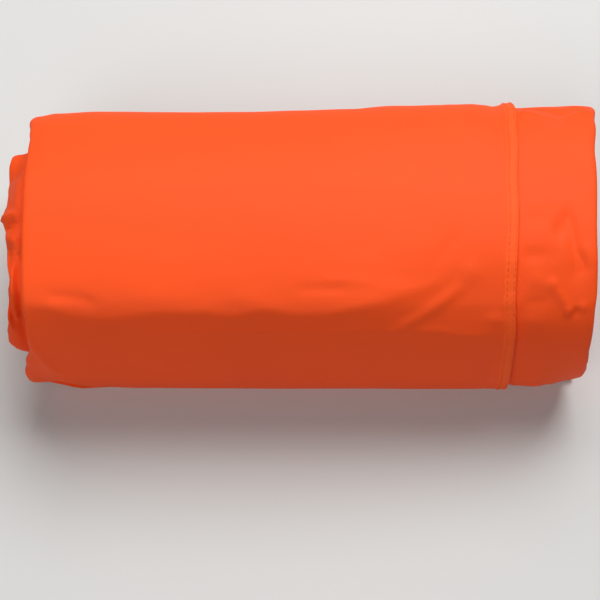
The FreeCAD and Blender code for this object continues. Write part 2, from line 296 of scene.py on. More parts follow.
def step_up(x, start, end):
    """0 before start and 1 after end, with a soft rise between them."""
    t = np.clip((x - start) / (end - start), 0, 1)
    return t * t * (3 - 2 * t)


def window(x, start, full, fading, end):
    """1 from full to fading, and 0 before start and after end."""
    return step_up(x, start, full) * (1 - step_up(x, fading, end))


def oval(x, arc, at, radii, height):
    """A soft oval bump, or a dent where its height is negative."""
    u, v = (x - at[0]) / radii[0], (arc - at[1]) * ARC_LENGTH / radii[1]
    return height * np.exp(-(u * u + v * v))


def crease(x, arc, line, width, height, fade):
    """A narrow ridge or groove along a line of (x, arc) points, which fades out at both ends."""
    nearest = np.full(np.broadcast(x, arc).shape, np.inf)
    along = np.zeros_like(nearest)
    done = 0.0
    for (xa, wa), (xb, wb) in zip(line, line[1:]):
        ax, ag = x - xa, (arc - wa) * ARC_LENGTH
        bx, bg = xb - xa, (wb - wa) * ARC_LENGTH
        length = math.hypot(bx, bg)
        t = np.clip((ax * bx + ag * bg) / length**2, 0, 1)
        gap = np.hypot(ax - bx * t, ag - bg * t)
        along = np.where(gap < nearest, done + t * length, along)
        nearest = np.minimum(gap, nearest)
        done += length
    ends = step_up(along, 0, fade) * step_up(done - along, 0, fade)
    return height * np.exp(-((nearest / width) ** 2)) * ends


def ripple(x, arc, size, seed, waves=9):
    """Gentle unevenness between -1 and 1: a few waves in fixed, odd directions."""
    rng = np.random.default_rng(seed)
    total = 0.0
    for _ in range(waves):
        angle, phase = rng.uniform(0, 2 * math.pi, 2)
        k = 2 * math.pi / (size * rng.uniform(0.6, 1.7))
        total = total + np.sin(k * (x * math.cos(angle) + arc * ARC_LENGTH * math.sin(angle)) + phase)
    return total / waves


# %% How the roll has settled
BACK_SHAPE = [
    (-145, -11), (-139, -10), (-136, -8.5), (-133, -7.6), (-130, -6.8), (-121, -5.3), (-101, -4.4), (-60, -4.3),
    (-30, -4.1), (0, -3.4), (25, -2.7), (50, -1.5), (70, -0.8), (85, -0.5), (91, -1.0), (96, -1.8), (101, -0.8),
    (108, -0.3), (125, 0.4), (137, 0.9), (146, 0.4),
]
FRONT_SHAPE = [
    (-140, -1), (-130, -0.9), (-118, -1.6), (-107, -1.8), (-97, -1.4), (-80, -0.8), (0, -0.5), (60, -0.4),
    (100, -0.5), (106, 0.5), (116, 1.2), (123, 0), (132, -2.2), (138, -3.6), (146, -4.5),
]
BEVEL_LINE = [(0, -98), (0.1, -105), (0.158, -114), (0.2, -119.5), (0.249, -125), (0.3, -131)]


def settled(x, arc):
    """How far the whole roll stands out from its outline, or is pressed in, in millimetres."""
    back = between(x, BACK_SHAPE) * window(arc, 0.48, 0.64, 0.75, 0.81)
    front = between(x, FRONT_SHAPE) * np.exp(-(((arc - 0.11) / 0.07) ** 2))
    lower_ridge = -4.2 * step_up(x, 30, 78) * np.exp(-(((arc - 0.325) * ARC_LENGTH / 16) ** 2))
    # beyond a line that runs down and inwards, the front bends back towards its lower left corner
    corner = -0.2 * np.clip(between(arc, BEVEL_LINE) - x, 0, 14) * (1 - step_up(arc, 0.24, 0.31))
    total = back + front + lower_ridge + corner + 0.35 * ripple(x, arc, 70, 3)
    return total * window(arc, 0, 0.06, 0.93, 1)


# %% [markdown]
# ## Rolled and folded layers
# A place in the rolled stack has three numbers: the way along the spiral in turns, x along the roll, and the lane,
# from 0 at the outside of the six folded layers to 1 at their inside. One function turns them into a point. Each
# turn is the outline drawn towards the core by the turns outside it, and the stretch on the base stays level. The
# layers behind the zip are pressed in, to leave room for its slider. As all the layers follow one rule, they keep
# off each other without a simulation of cloth.

# %% From way, x and lane to a point
TOP_LANES = (0.06, 0.55, 0.71)
FLOOR_LANES = (0.22, 0.38, 0.88)
CLOTH = 0.35  # thickness of the coated nylon, in millimetres
PANEL_AT_ZIP = tape_high[1] + CLOTH / 2 + 0.25  # the skin lies on the zip's tapes
POCKET, POCKET_FLOOR = 0.43, 62.3  # the layers under the skin give this share of their room down to this y
STIFF_CORE = 0.45  # layers below this share of the outline don't follow its dents
LOOSE_FROM = 132.5  # beyond this distance to the left the pushed-out turns slope down
SHORTEST_TURN = 60


def turn_and_share(way):
    """The whole turn, the share of the arc, and the share of the flat base after it."""
    turn = np.clip(np.floor(way), 0, OUTER)
    rest = way - turn
    return turn, np.clip(rest / ARC, 0, 1), np.clip((rest - ARC) / (1 - ARC), 0, None)


def arc_of(way):
    return turn_and_share(way)[1]


def zip_mask(x, z):
    """1 where the back is kept flat for the zip, and 0 away from it."""
    along = window(x, zip_left - 13, zip_left - 2, zip_right + 2, zip_right + 13)
    return along * (1 - step_up(np.abs(z - zip_height), 13, 18))


def mouth_drift(x):
    """How far the mouth's edge lies in front of its line. A corner pokes out at the left."""
    return 1.5 * window(x, -121.5, -118.5, -117, -100) - 3.5 * step_up(x, 50, 130) - 3.0 * step_up(-x, 121, 126)


def straight_edges(turn, base, lane, x):
    """Evens out the lanes along the base, so that the mouth and the cross seam run along the roll."""
    wanted = (1 - LAP * (OUTER - turn)) * (BASE_BACK - base * BASE_LENGTH)
    level = (BASE_BACK - wanted / (1 - LAP * (OUTER - turn + lane))) / BASE_LENGTH
    weight = np.where(turn == OUTER, step_up(base, 0.3, 0.8), window(base, 0.5, 0.7, 0.86, 1))
    drift = mouth_drift(x) * (turn == OUTER) / BASE_LENGTH
    return base + (level + drift - base) * weight * (turn >= OUTER - 1)


def slump(x, arc):
    """How far the loose turns at the left sink: a groove beside the wrap, then a slope to their own fold."""
    groove = 4.5 * window(-x, 126.5, 130, 131.5, 136) * step_up(arc, 0.1, 0.3)
    return groove + 1.15 * np.clip(-x - LOOSE_FROM, 0, 12) * window(arc, 0.25, 0.42, 0.61, 0.7)


def roll_up(way, x, lane, extra=0.0):
    """Points of the rolled stack in millimetres. extra lifts a point off its layer, outwards."""
    way, x, lane, extra = np.broadcast_arrays(*(np.asarray(a, float) for a in (way, x, lane, extra)))
    turn, arc, base = turn_and_share(way)
    line = on_outline(outline, arc)
    shown = 1 - LAP * (1 - arc)
    full = shown - LAP * (OUTER - turn) - LAP * lane
    y = line[..., 0] * full / shown - straight_edges(turn, base, lane, x) * BASE_LENGTH * full
    z = CORE_HEIGHT + (line[..., 1] - CORE_HEIGHT) * full / shown
    normal = np.where((base > 0)[..., None], (0.0, -1.0), on_outline(outward, arc))
    lift = settled(x, arc) * np.clip((full / shown - STIFF_CORE) / (1 - STIFF_CORE), 0, 1)
    lift = lift - slump(x, arc) * full / shown * (turn < OUTER - 1)
    y, z = y + normal[..., 0] * lift, z + normal[..., 1] * lift
    mask = zip_mask(x, z) * (y > 0)
    skin = (1 - step_up(lane, TOP_LANES[0], FLOOR_LANES[0])) * (turn == OUTER)
    y = y + mask * (skin * (PANEL_AT_ZIP - y) - (1 - skin) * POCKET * np.clip(y - POCKET_FLOOR, 0, None))
    return np.stack([x, y + normal[..., 0] * extra, z + normal[..., 1] * extra], axis=-1)


def ways(start, *stretches):
    """Ways from start on, in stretches of (end, spacing in millimetres), although inner turns are shorter."""
    found = [start]
    for end, spacing in stretches:
        way = found[-1]
        while way < end:
            round_length = (ARC_LENGTH + BASE_LENGTH) * (1 - LAP * (TURNS - 0.5 - way))
            way += spacing / max(round_length, SHORTEST_TURN)
            found.append(min(way, end))
    return np.array(found)


# %% [markdown]
# ## The ends of the roll
# The ends show the folds of the thirds. The top sheet turns round the floor sheet at the left, and the floor turns
# round the top at the right. Both folds were laid by hand, so they wander by some millimetres. The inner turns stick
# out at the left end, where the roll was pushed.

# %% Where the folds are
HOOD_LEFT = [
    (0, -129.5), (0.05, -131.8), (0.1, -133.5), (0.15, -133.4), (0.184, -131.2), (0.234, -127), (0.292, -126.2),
    (0.315, -127), (0.388, -127.8), (0.448, -128.5), (0.526, -129.5), (0.606, -130.4), (0.636, -131.6),
    (0.68, -133.5), (0.75, -134.5), (1, -133),
]
HOOD_RIGHT = [
    (0, 136.5), (0.05, 138.6), (0.1, 139.6), (0.15, 139), (0.18, 138), (0.226, 136.7), (0.296, 136.3), (0.338, 136.9),
    (0.4, 137.1), (0.565, 140), (0.64, 143), (0.69, 145.6), (0.75, 145), (1, 140),
]
BULGE_LEFT = [
    (0, -133), (0.1, -132.6), (0.125, -134.6), (0.15, -139.6), (0.17, -141.4), (0.2, -140.6), (0.25, -138.3),
    (0.3, -136.4), (0.33, -137.2), (0.36, -138.4), (0.4, -139.7), (0.45, -141.2), (0.473, -142.6), (0.4895, -145.0),
    (0.507, -143.4), (0.525, -142.2), (0.55, -142.4), (0.6, -143.6), (0.66, -144.2), (0.69, -143.6), (0.73, -140),
    (0.8, -136), (1, -134),
]
SEAM_EDGE = [
    (0, 101.8), (0.135, 101.5), (0.249, 100.2), (0.33, 98.9), (0.497, 101.7), (0.6, 104), (0.669, 105.6), (0.76, 104),
    (0.9, 102), (1, 101.5),
]
PUSHED_OUT = 6.33  # the turns before this one stick out at the left
HOOD_BLEND = 0.15  # the body's folds meet the hood's over this share of a turn


def wander(way, size, seed):
    """Slow, uneven drift along the way."""
    rng = np.random.default_rng(seed)
    total = 0.0
    for k in (1, 1.7, 2.9, 4.3, 7.1):
        total = total + np.sin(2 * math.pi * k * way + rng.uniform(0, 6.28)) / k**0.5
    return size * total / 2.6


def blend(first, second, share):
    return first + (second - first) * share


def left_fold(way):
    """x of the left fold."""
    turn, arc, _ = turn_and_share(way)
    hood_edge = between(arc, HOOD_LEFT)
    hidden = hood_edge + 1.5 + wander(way, 0.8, 5)
    stuck_out = between(arc, BULGE_LEFT) + wander(way, 1.2, 6) * (OUTER - turn > 3) + 0.35 * (PUSHED_OUT - way)
    body_edge = blend(stuck_out, hidden, step_up(way, PUSHED_OUT - 0.1, PUSHED_OUT + 0.06))
    return blend(body_edge, hood_edge, step_up(way, OUTER - HOOD_BLEND, OUTER))


def right_fold(way):
    """x of the right fold."""
    hood_edge = between(arc_of(way), HOOD_RIGHT)
    return blend(hood_edge - 5.5 + wander(way, 1.6, 8), hood_edge, step_up(way, OUTER - HOOD_BLEND, OUTER))


def seam_edge(way):
    """x of the right edge of the outer side seam."""
    return between(arc_of(way), SEAM_EDGE)


# %% [markdown]
# ## Cutting and folding a sheet
# A sheet is a grid. Its rows follow the spiral and its columns go across the folded width: the outer third, the
# fold, the middle third, the other fold and the inner third. Columns are close together where the fabric bends or
# shows, and wide apart where it lies flat between other layers.

# %% Columns of the two sheets
TOP_HOOK = 2.4  # depth of a fold that goes round the other sheet
TIGHT = 0.9  # depth of a fold inside the other sheet
BEND = np.linspace(-math.pi / 2, math.pi / 2, 9)[None, 1:-1]
SHEETS = {  # lanes, how far the edge and the two folds lie inwards, and the depths of the folds
    "top": (TOP_LANES, 1.2, 0.0, 3.2, TOP_HOOK, TIGHT),
    "floor": (FLOOR_LANES, 1.6, 2.9, 0.0, TIGHT, TOP_HOOK),
}
LAST_EDGE = 5.5  # from the left fold to the edge of the inner third
SEAM_X, LEFT_X, RIGHT_X, LAST_X = 100, -130, 137, -126  # rough places, only to count the columns between them
WIDE = 16  # spacing of columns that don't show, in millimetres


def span(start, end, spacing, fine=None):
    """Shares from 0 to 1, a spacing apart. fine is (from x, spacing) for the stretch that shows."""
    if fine is None:
        return np.linspace(0, 1, max(2, round(abs(end - start) / spacing) + 1))[None, :]
    edge, close = fine
    part = (edge - start) / (end - start)
    return np.hstack([part * span(start, edge, spacing), blend(part, 1, span(edge, end, close)[:, 1:])])


def columns(kind, way, outer=20.0, left_fine=None, middle_fine=None):
    """x and lane of every column of the top or the floor sheet, one row for each way."""
    left, right, seam = (edge(way)[:, None] for edge in (left_fold, right_fold, seam_edge))
    lanes, edge_in, left_in, right_in, deep_left, deep_right = SHEETS[kind]
    first, last = seam - edge_in, left + LAST_EDGE
    flat_left, flat_right = left + left_in + deep_left, right - right_in - deep_right
    x = [blend(first, flat_left, span(SEAM_X, LEFT_X, outer, left_fine)),
         flat_left - deep_left * np.cos(BEND),
         blend(flat_left, flat_right, span(LEFT_X, RIGHT_X, WIDE, middle_fine)),
         flat_right + deep_right * np.cos(BEND),
         blend(flat_right, last, span(RIGHT_X, LAST_X, WIDE))]
    outer_lane, middle_lane, inner_lane = lanes
    half = (1 + np.sin(BEND)) / 2
    lane = [outer_lane, blend(outer_lane, middle_lane, half), middle_lane, blend(middle_lane, inner_lane, half),
            inner_lane]
    return np.hstack(x), np.hstack([0 * part + level for part, level in zip(x, lane)])


# %% From a grid of points to a piece of cloth
def flat_place(points):
    """Each grid point's place on the flat cloth: the distances along its row and along its column."""
    across, along = np.diff(points, axis=1, prepend=points[:, :1]), np.diff(points, axis=0, prepend=points[:1])
    return np.linalg.norm(across, axis=2).cumsum(axis=1), np.linalg.norm(along, axis=2).cumsum(axis=0)


def grid_mesh(name, points, ring=False):
    """Quads through a grid of points in millimetres, with its flat place as UV in decimetres."""
    index = np.arange(points[..., 0].size).reshape(points.shape[:2])
    if ring:
        index = np.hstack([index, index[:, :1]])
    quads = np.stack([index[:-1, :-1], index[:-1, 1:], index[1:, 1:], index[1:, :-1]], axis=-1)
    faces = quads.reshape(-1, 4).tolist()
    if ring:
        faces += [index[0, -2::-1].tolist(), index[-1, :-1].tolist()]
    mesh = bpy.data.meshes.new(name)
    mesh.from_pydata((points.reshape(-1, 3) * MM).tolist(), [], faces)
    flat = np.stack(flat_place(points), axis=-1).reshape(-1, 2) / 100
    corner = np.empty(len(mesh.loops), dtype=np.int32)
    mesh.loops.foreach_get("vertex_index", corner)
    mesh.uv_layers.new(name="cloth").data.foreach_set("uv", flat[corner].ravel().astype(np.float32))
    mesh.shade_smooth()
    mesh.update()
    return mesh


def new_object(name, data):
    piece = bpy.data.objects.new(name, data)
    bpy.context.scene.collection.objects.link(piece)
    return piece


def freeze(piece):
    """Turns a piece with its modifiers into plain mesh."""
    mesh = bpy.data.meshes.new_from_object(piece.evaluated_get(bpy.context.evaluated_depsgraph_get()))
    piece.modifiers.clear()
    old, piece.data = piece.data, mesh
    bpy.data.meshes.remove(old)


def cloth_piece(name, points):
    """A sheet of cloth through a grid of points, with its thickness half to each side."""
    piece = new_object(name, grid_mesh(name, points))
    shell = piece.modifiers.new("thickness", "SOLIDIFY")
    shell.thickness, shell.offset, shell.use_even_offset = CLOTH * MM, 0, False
    freeze(piece)
    across, along = flat_place(points)
    width, length = float(across[:, -1].mean()), float(along[-1].mean())
    piece["flat"] = (width * MM, length * MM)
    print(f"{name}: cloth {width:.0f} by {length:.0f} mm, {len(piece.data.polygons)} faces")
    return piece


# %% [markdown]
# ## The body's two sheets
# The body is eight turns. Only its folds show, at the two ends, so its grid is coarse along x and fine at the folds.
# Nothing holds the last pushed-out turn tight, so its cloth stands up in tucks.

# %% Tucks at the left end
TUCKS = [  # line, width and height
    ([(-145, 0.49), (-139, 0.488), (-133, 0.482)], 2.8, 3.0),
    ([(-143, 0.456), (-138, 0.46), (-133, 0.465)], 1.5, -3.4),
    ([(-142, 0.437), (-137, 0.428), (-132, 0.414)], 2.2, 2.2),
    ([(-141, 0.41), (-136, 0.402), (-131, 0.384)], 1.5, -3.2),
    ([(-138.2, 0.38), (-138, 0.33), (-137.6, 0.22)], 1.2, 1.9),
    ([(-134.8, 0.385), (-134.2, 0.34), (-133.8, 0.25)], 1.2, 1.8),
    ([(-136.4, 0.385), (-136.1, 0.33), (-135.8, 0.24)], 1.0, -2.2),
    ([(-139, 0.6), (-137, 0.55), (-135, 0.5)], 2.2, 1.0),
]
TUCK_FADE = 3


def tucked(way, x, lane):
    """How far the cloth of the loose turn stands up from its layer."""
    total = sum(crease(x, arc_of(way), *tuck, TUCK_FADE) for tuck in TUCKS)
    loose = window(way, PUSHED_OUT - 1.08, PUSHED_OUT - 1.03, PUSHED_OUT, PUSHED_OUT + 0.05)
    return total * loose * (1 - step_up(x, -131.5, -129)) * (1 - step_up(lane, 0.1, 0.5))


# %% The body
SEAM_WAY = OUTER - 0.045  # the seam between body and hood, under the roll
body_ways = ways(0.0, (PUSHED_OUT - 1, 5), (PUSHED_OUT + 0.1, 1.9), (SEAM_WAY, 5))
pieces = {}  # by the node that each of them stands for
for kind in ("top", "floor"):
    x, lane = columns(kind, body_ways, left_fine=(-124, 1.3))
    way = body_ways[:, None]
    extra = tucked(way, x, lane) if kind == "top" else 0
    pieces[f"body_{kind}_panel"] = cloth_piece(f"body_{kind}_sheet", roll_up(way, x, lane, extra))

# %% [markdown]
# ## The foot end
# The first turn winds round the foot end's gusset, which is pleated flat. It is one strip, folded to and fro in the
# roll's hollow core, and it shows a little at both ends.

# %% The pleated gusset
PLEATS = 4
PLEAT_REACH = 5.6  # from the middle of the first pleat to its fold, in millimetres
PLEAT_RISE = 1.75  # from one pleat to the next
pleat = np.linspace(0, PLEATS * math.pi, 14 * PLEATS + 1)[:, None]
gusset_y = 2.0 + (PLEAT_REACH - 0.35 * pleat / math.pi) * -np.cos(pleat)
gusset_z = CORE_HEIGHT - 2.9 + PLEAT_RISE * (pleat - 0.8 * np.sin(2 * pleat) / 2) / math.pi
left_end = -140.5 + 1.5 * np.sin(2.3 * pleat)
right_end = 133.5 + 1.5 * np.cos(1.7 * pleat)
gusset_x = blend(left_end, right_end, np.linspace(0, 1, 60)[None, :])
points = np.stack(np.broadcast_arrays(gusset_x, gusset_y, gusset_z), axis=-1)
pieces["foot_end_panel"] = cloth_piece("foot_end_gusset", points)

# %% [markdown]
# ## The hood's sheets
# The hood is the last turn, so its outer third is the skin of the whole roll, and nearly everything that shows. It
# gets a fine grid and creases of its own, on top of the shape that it shares with the layers below. On the back,
# the zip parts it in two: the top sheet down to the zip, and the mouth's sheet from the zip to the hem.

# %% Creases of the skin
RIDGE = [
    (-127, 0.312), (-122, 0.322), (-115, 0.319), (-109, 0.309), (-100, 0.303), (-88, 0.3), (-77, 0.305), (-64, 0.311),
    (-43, 0.311), (-31, 0.304), (-20, 0.314), (-13, 0.315), (-7, 0.31), (1, 0.307), (14, 0.309), (27, 0.32),
    (41, 0.331), (53, 0.344), (60, 0.351), (65, 0.359), (70, 0.377),
]
SECOND_FOLD = [(40, 0.27), (51, 0.292), (60, 0.31), (67, 0.33), (73, 0.347), (77, 0.362)]
LOWER_FOLD = [
    (-70, 0.277), (-5, 0.2765), (40, 0.276), (53, 0.276), (65, 0.274), (72, 0.266), (84, 0.266), (93, 0.282),
]
SKIN_CREASES = [  # line, width, height, and the length over which each end fades
    (RIDGE, 2.6, 0.36, 12), (RIDGE, 5.2, 0.5, 20), (SECOND_FOLD, 2.6, 0.95, 10), (LOWER_FOLD, 1.4, 0.42, 20),
    ([(50, 0.276), (65, 0.273), (84, 0.266), (93, 0.28)], 3.3, 0.5, 8),
    ([(-117, 0.335), (-108, 0.333), (-100, 0.331), (-91, 0.32)], 2.2, -0.75, 5),
    ([(-4, 0.343), (7, 0.344), (25, 0.344)], 2.2, -0.65, 7), ([(8, 0.356), (22, 0.357), (36, 0.352)], 2.0, 0.35, 7),
    ([(38, 0.45), (33, 0.408), (28, 0.385)], 3.0, -0.3, 10),
    ([(76, 0.445), (72, 0.428), (67, 0.398), (58, 0.374)], 3.0, -0.5, 12),
    ([(-127, 0.5035), (60, 0.5)], 1.3, 0.32, 25),
    ([(-127, 0.305), (-126, 0.249), (-121, 0.201), (-114, 0.158)], 2.0, 0.75, 8),
    ([(79, 0.11), (80.5, 0.18), (79, 0.25)], 2.4, 0.35, 14), ([(91, 0.09), (90, 0.18), (92, 0.26)], 2.4, -0.35, 14),
]
ZIP_CREASES = [  # at the back, where the zip's stiff tapes pull the cloth
    ([(97, 0.768), (87, 0.738), (68, 0.716)], 3.0, 0.8, 7), ([(60, 0.756), (38, 0.742), (12, 0.75)], 3.0, -0.55, 10),
    ([(-124, 0.766), (-113, 0.738), (-95, 0.72)], 3.0, 0.8, 7),
    ([(-70, 0.752), (-40, 0.738), (-8, 0.744)], 3.4, 0.55, 12),
    ([(-88, 0.712), (-50, 0.702), (-5, 0.706), (42, 0.7)], 4.0, -0.6, 20),
    ([(96, 0.884), (82, 0.91), (60, 0.926)], 3.0, 0.75, 7),
    ([(-122, 0.884), (-104, 0.912), (-82, 0.926)], 3.0, 0.75, 7),
    ([(-38, 0.9), (0, 0.915), (34, 0.904)], 3.6, -0.5, 12),
]
SKIN_BUMPS = [  # middle, radii and height
    ((41, 0.346), (7, 3.5), 0.5), ((78, 0.369), (5, 5), 0.8), ((89.5, 0.293), (4, 3), 0.8),
    ((-110, 0.322), (5, 3), 0.4), ((-24, 0.33), (7, 3), 0.4), ((-64, 0.332), (14, 3), 0.35),
]


def folded(x, arc, height, creases, bumps):
    """Adds creases and bumps to a height, and lets all of it end softly at the base."""
    for line, width, depth, fade in creases:
        height = height + crease(x, arc, line, width, depth, fade)
    for at, radii, depth in bumps:
        height = height + oval(x, arc, at, radii, depth)
    return height * window(arc, 0, 0.05, 0.93, 1)


def relief(x, arc):
    """How far the skin stands off the layer below, except at the zip, where it lies flat."""
    y, z = np.moveaxis(on_outline(outline, arc), -1, 0)
    plain = 0.45 + 0.12 * ripple(x, arc, 26, 11)
    return folded(x, arc, plain, SKIN_CREASES + ZIP_CREASES, SKIN_BUMPS) * (1 - zip_mask(x, z) * (y > 0))


FOLD_CREASES = [
    ([(106, 0.668), (115, 0.65), (125, 0.628), (132, 0.644), (142, 0.668)], 1.9, 1.9, 4),
    ([(108, 0.70), (118, 0.68), (127, 0.656), (133, 0.668), (142, 0.685)], 2.2, -1.2, 5),
    ([(121, 0.475), (123.6, 0.464), (127, 0.4), (133, 0.358)], 2.8, -1.3, 9),
    ([(129.5, 0.42), (135, 0.37)], 2.4, 0.5, 6),
    ([(115, 0.362), (118, 0.342), (121.6, 0.32), (124.5, 0.298)], 1.8, 1.1, 4),
    ([(103, 0.36), (111, 0.354), (118, 0.34)], 3.8, 0.7, 5),
]
FOLD_BUMPS = [
    ((119.9, 0.434), (2.8, 4.6), -1.3), ((127, 0.37), (4, 6), -1.0), ((106, 0.394), (9, 3.4), -0.9),
    ((108, 0.318), (9, 3.6), -0.6), ((124, 0.302), (1.8, 1.7), 1.9), ((127.3, 0.301), (1.7, 2), -1.3),
    ((130, 0.309), (2.4, 2.6), 0.9), ((111, 0.452), (5, 4), -0.45), ((108.3, 0.285), (5, 4), 0.45),
]


def fold_relief(x, arc):
    """Creases of the floor's fold, which shows to the right of the side seam."""
    plain = 0.25 + 0.14 * ripple(x, arc, 22, 17)
    return folded(x, arc, plain, FOLD_CREASES, FOLD_BUMPS) * step_up(x, 101, 106)


x = np.linspace(-120, 100, 5)
print("skin above the layer below, along the ridge:", relief(x, 0.33).round(2), "mm")

# %% Rows of the hood
HOOD_WAY = SEAM_WAY + 0.02
MOUTH_REACH = -hem_high[1]
HEM_WIDTH = hem_high[1] - hem_low[1]
WAY_PER_MM = ARC / ARC_LENGTH
OPENING_HALF, OPENING_PAST = 6.8, 1.6  # half the height of the zip's slot, and how far it goes past the tapes
SQUARE = 22  # the higher, the squarer the ends of the slot


def way_on_base(y):
    """The way at which the hood's tail passes a depth y, under the roll."""
    return OUTER + ARC + (1 - ARC) * (BASE_BACK - y) / BASE_LENGTH


def opening(x):
    """Half the height of the zip's opening in the skin: rounded at both ends, and 0 beyond them."""
    middle, half = (zip_left + zip_right) / 2, (zip_right - zip_left) / 2 + OPENING_PAST
    return OPENING_HALF * np.clip(1 - (np.abs(x - middle) / half) ** SQUARE, 0, 1) ** (1 / SQUARE)


back = outline[:, 0] > 0
ZIP_WAY = OUTER + ARC * np.interp(-zip_height, -outline[back, 1], reach[back]) / ARC_LENGTH
MOUTH_WAY = way_on_base(-MOUTH_REACH)
BASE_WAY = OUTER + ARC  # where the hood's tail begins
close = 12 * WAY_PER_MM  # rows are closest together beside the zip
top_ways = ways(HOOD_WAY, (OUTER, 4), (ZIP_WAY - close, 1.7), (ZIP_WAY, 1.0))
mouth_ways = ways(ZIP_WAY, (ZIP_WAY + close, 1.0), (BASE_WAY, 2.2), (MOUTH_WAY, 4))
floor_ways = ways(HOOD_WAY, (OUTER, 4), (BASE_WAY, 1.8), (MOUTH_WAY, 4))


def skin_points(way, side):
    """The grid of one of the two sheets that meet at the zip. side is -1 before the zip and 1 after it."""
    x, lane = columns("top", way, outer=1.7)
    near_zip = 1 - step_up(np.abs(way - ZIP_WAY), 0, 26 * WAY_PER_MM)[:, None]
    way = way[:, None] + side * opening(x) * (lane < 0.1) * near_zip * WAY_PER_MM
    return roll_up(way, x, lane, np.where(lane < 0.3, relief(x, arc_of(way)), 0))


# %% The hood
pieces["hood_top_panel"] = cloth_piece("hood_top_sheet", skin_points(top_ways, -1))
pieces["hood_mouth_panel"] = cloth_piece("hood_mouth_sheet", skin_points(mouth_ways, 1))
x, lane = columns("floor", floor_ways, middle_fine=(90, 1.5))
way = floor_ways[:, None]
in_sight = window(lane, 0.3, 0.38, 0.4, 0.7)
points = roll_up(way, x, lane, fold_relief(x, arc_of(way)) * in_sight)
pieces["hood_floor_panel"] = cloth_piece("hood_floor_sheet", points)

# %% [markdown]
# ## The side seams
# Along the side the edges of both sheets are folded into each other and sewn down twice. The raised band is soft at
# its left and ends at its right in a sharp edge, where the skin steps down to the floor's fold. It is a closed
# profile that follows the seam, and it puckers, because the thread is shorter than the cloth.

# %% The raised band
BAND_PROFILE = [
    (-4.0, -0.12), (-3.4, 0.04), (-2.7, 0.2), (-1.9, 0.36), (-1.0, 0.45), (0.0, 0.46), (1.2, 0.5), (2.0, 0.52),
    (2.4, 0.42), (2.55, 0.1), (2.5, -1.0), (2.2, -1.35), (0.5, -1.3), (-1.2, -0.6), (-3.6, -0.3),
]
BAND_TOP = 0.46  # height of the profile above the skin at its middle
BAND_MIDDLE = 2.55  # from the band's right edge to its middle
band_ways = ways(HOOD_WAY, (OUTER, 3), (BASE_WAY, 1.2), (MOUTH_WAY, 3))


def pucker(arc):
    """Height that the seam's stitches pull up, along the band."""
    s = arc * ARC_LENGTH
    waves = 0.07 * np.sin(s * 0.31 + 1.3) + 0.06 * np.sin(s * 0.57 + 2 * np.sin(s * 0.11)) + 0.03 * np.sin(s * 1.13)
    nub = 0.2 * np.exp(-((s - 0.7 * ARC_LENGTH) / 5) ** 2) + 0.25 * np.exp(-((s - 0.63 * ARC_LENGTH) / 3) ** 2)
    return (waves + nub) * window(arc, 0.02, 0.08, 0.9, 0.96)


def band_at(way, across, height):
    """Points on the band: across from its middle, and height above the skin."""
    arc = arc_of(way)
    x = seam_edge(way) - BAND_MIDDLE + across
    lift = relief(x, arc) + height * window(arc, 0, 0.03, 0.96, 1)
    return roll_up(way, x, TOP_LANES[0], lift + pucker(arc) * np.clip(height / BAND_TOP, 0, 1))


def tube(name, points):
    """A closed piece through rings of points."""
    piece = new_object(name, grid_mesh(name, points, ring=True))
    print(f"{name}: {len(piece.data.polygons)} faces")
    return piece


across, height = np.array(BAND_PROFILE).T[:, ::-1]
pieces["side_seams_hood"] = tube("side_seams", band_at(band_ways[:, None], across, height))

# %% The other side's seam, inside the roll
INNER_SEAM = (8.2, 0.795)  # distance from the left fold, and lane
across, lanes = np.array([(-2.4, 2.4, 2.4, -2.4), (-0.02, -0.02, 0.02, 0.02)])
way = ways(HOOD_WAY, (MOUTH_WAY, 4))[:, None]
inner_seam = tube("inner_seam", roll_up(way, left_fold(way) + INNER_SEAM[0] + across, INNER_SEAM[1] + lanes))

# %% [markdown]
# ## Rolled hems and folded edges
# A hem is the sheet's edge, turned twice and sewn down. A Geometry Nodes tree sweeps it as a rounded bar along a
# path. Each point of the path carries the direction out of the sheet, which keeps the bar flat on the cloth.

# %% A small builder of trees
def new_tree(name, *numbers):
    """A Geometry Nodes tree with named numbers and a material as its inputs, and its piece's path as a curve."""
    tree = bpy.data.node_groups.new(name, "GeometryNodeTree")
    tree.interface.new_socket("Geometry", in_out="OUTPUT", socket_type="NodeSocketGeometry")
    kinds = {"Geometry": "Geometry", **dict.fromkeys(numbers, "Float"), "Material": "Material"}
    for label, kind in kinds.items():
        tree.interface.new_socket(label, in_out="INPUT", socket_type=f"NodeSocket{kind}")
    given = tree.nodes.new("NodeGroupInput").outputs
    return tree, given, add(tree, "MeshToCurve", {"Mesh": given["Geometry"]})


def finish_tree(geometry, material):
    """Every tree ends in real geometry with its material."""
    real = add(geometry, "RealizeInstances", {"Geometry": geometry})
    smooth = add(geometry, "SetShadeSmooth", {"Geometry": real})
    dressed = add(geometry, "SetMaterial", {"Geometry": smooth, "Material": material})
    add(geometry, "NodeGroupOutput", {0: dressed})


def stored_outward(tree):
    """The direction out of the cloth that each point of the path carries."""
    return add(tree, "InputNamedAttribute", {"Name": "outward"}, data_type="FLOAT_VECTOR")


def row_of(path, pitch, unit, direction, axis, **more):
    """Sets a unit at even distances along a path, with one of its axes in a direction."""
    places = add(path, "ResampleCurve", {"Curve": path, "Length": pitch}, mode="LENGTH")
    turned = add(unit, "FunctionNodeAlignRotationToVector", {"Vector": direction}, axis=axis)
    return add(unit, "InstanceOnPoints", {"Points": places, "Instance": unit, "Rotation": turned, **more})


